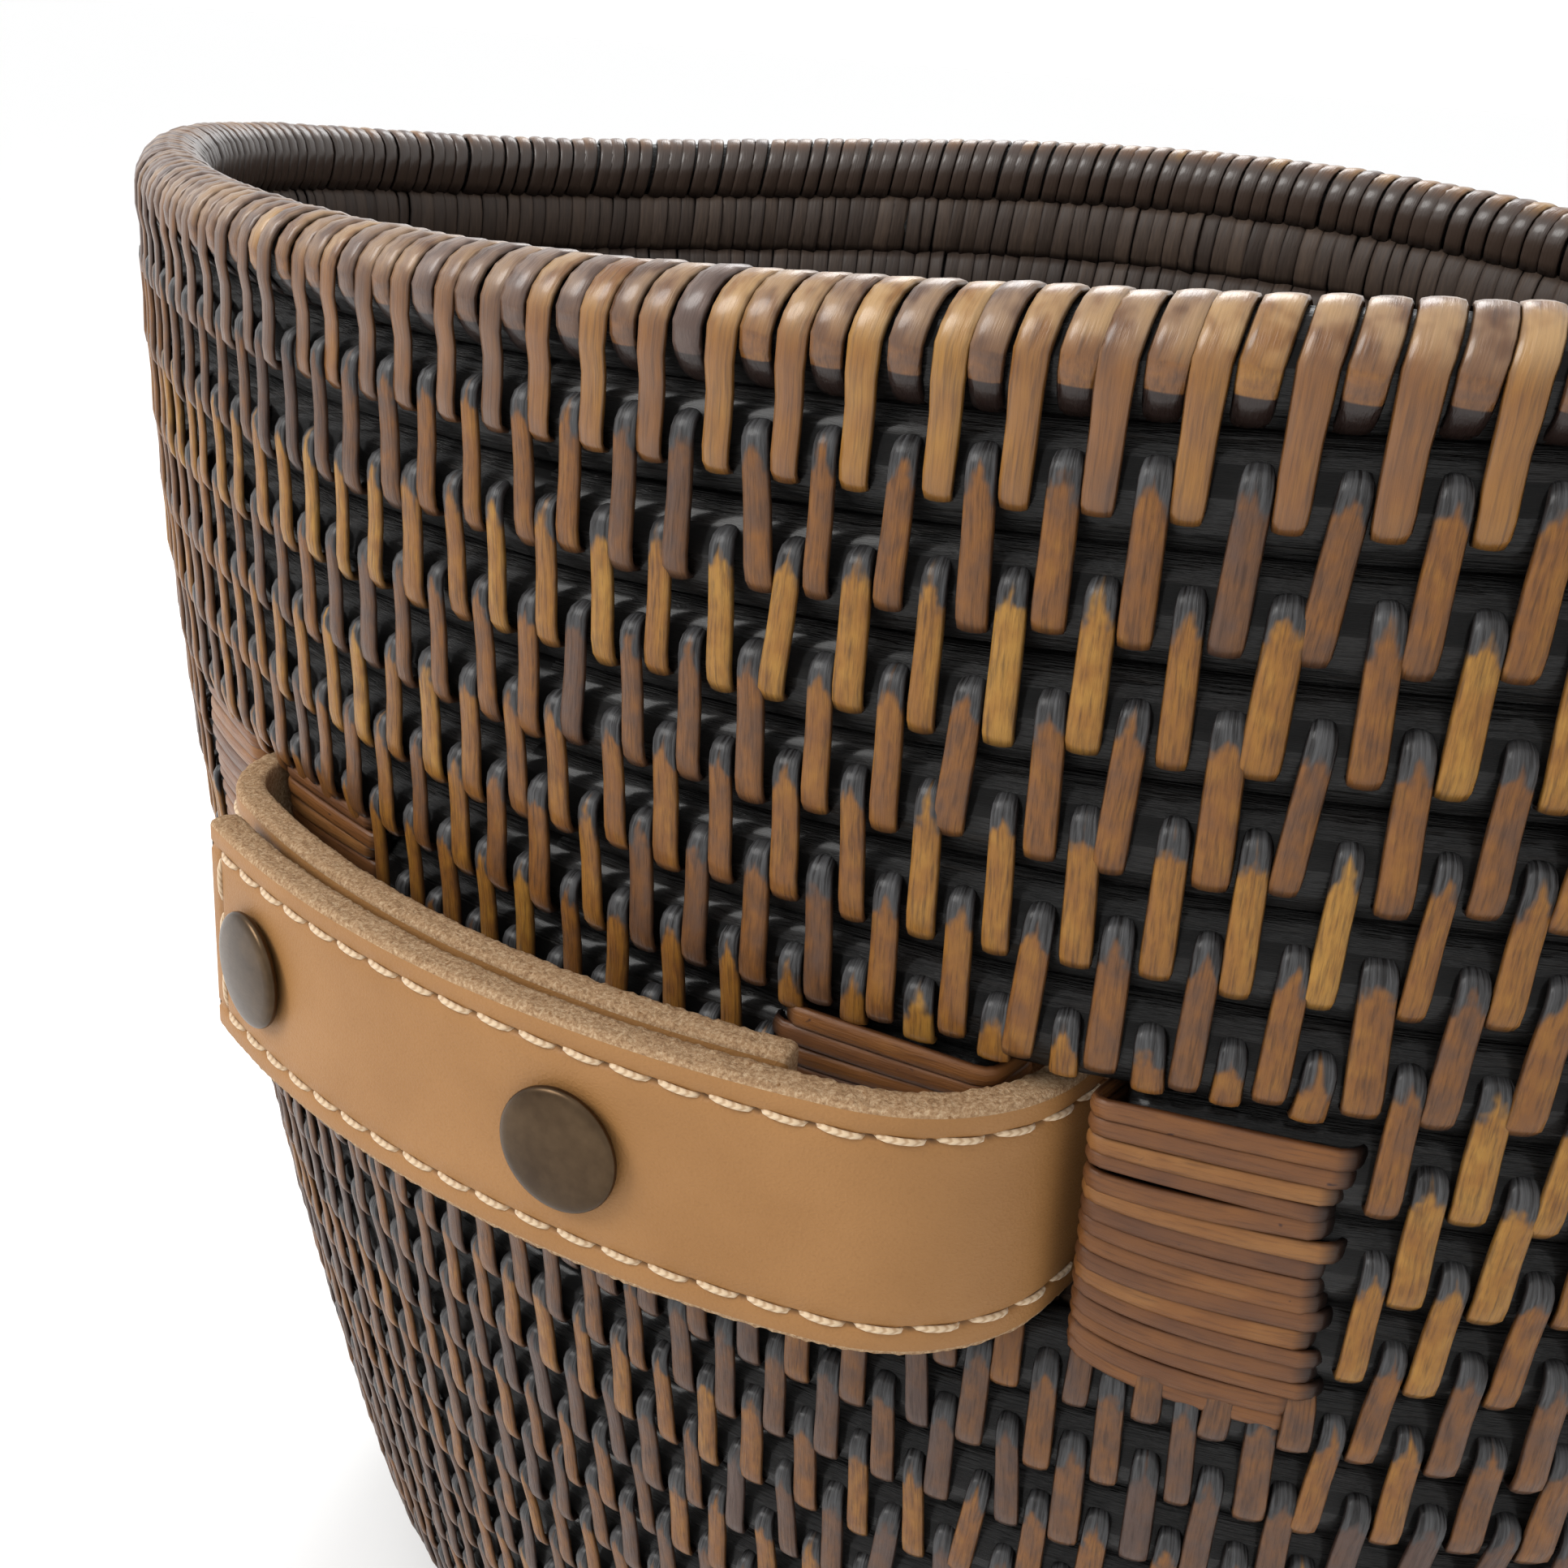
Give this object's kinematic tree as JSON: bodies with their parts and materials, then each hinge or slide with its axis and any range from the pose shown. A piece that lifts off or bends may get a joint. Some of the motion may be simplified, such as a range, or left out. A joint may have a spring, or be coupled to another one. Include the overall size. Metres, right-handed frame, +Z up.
{
  "type": "wicker log basket",
  "caption": "Oval coiled rattan storage basket, wider at the rim, with a leather strap handle looped through lashed slots on each long side and fastened with snaps.",
  "frame": {"origin": "middle of the underside, on the floor", "axes": "+Z up; the oval's long axis lies along X; the front handle is at -Y and the back handle at +Y"},
  "size_m": [0.3714, 0.2842, 0.3171],
  "materials": {
    "rattan": "dark stained rattan coils under sanded brown peel stitches",
    "rim": "dark stained rattan peel, sanded pale along the top, satin",
    "lashing": "orange-brown rattan peel, satin",
    "leather": "tan vegetable-tanned, fine grain, raw edges",
    "thread": "cream waxed thread",
    "brass": "antique brass, dark brown-grey, satin"
  },
  "bodies": {
    "basket": {"wall_coils": "rattan", "rim_coil": "rim", "base_mat": "rattan", "front_left_slot_outer_lashing": "lashing", "front_left_slot_inner_lashing": "lashing", "front_right_slot_outer_lashing": "lashing", "front_right_slot_inner_lashing": "lashing", "back_left_slot_outer_lashing": "lashing", "back_left_slot_inner_lashing": "lashing", "back_right_slot_outer_lashing": "lashing", "back_right_slot_inner_lashing": "lashing"},
    "front_handle": {"front_strap": "leather", "front_strap_seam": "thread", "front_end_snap_cap": "brass", "front_end_snap_socket": "brass", "front_end_snap_stud": "brass", "front_end_snap_post": "brass", "front_middle_snap_cap": "brass", "front_middle_snap_socket": "brass", "front_middle_snap_stud": "brass", "front_middle_snap_post": "brass"},
    "back_handle": {"back_strap": "leather", "back_strap_seam": "thread", "back_end_snap_cap": "brass", "back_end_snap_socket": "brass", "back_end_snap_stud": "brass", "back_end_snap_post": "brass", "back_middle_snap_cap": "brass", "back_middle_snap_socket": "brass", "back_middle_snap_stud": "brass", "back_middle_snap_post": "brass"}
  },
  "joints": [
    {"name": "front_handle_pull", "type": "slide", "parent": "basket", "child": "front_handle", "axis": [0, -1, 0], "range_m": [0, 0.0025]},
    {"name": "back_handle_pull", "type": "slide", "parent": "basket", "child": "back_handle", "axis": [0, 1, 0], "range_m": [0, 0.0025]}
  ]
}
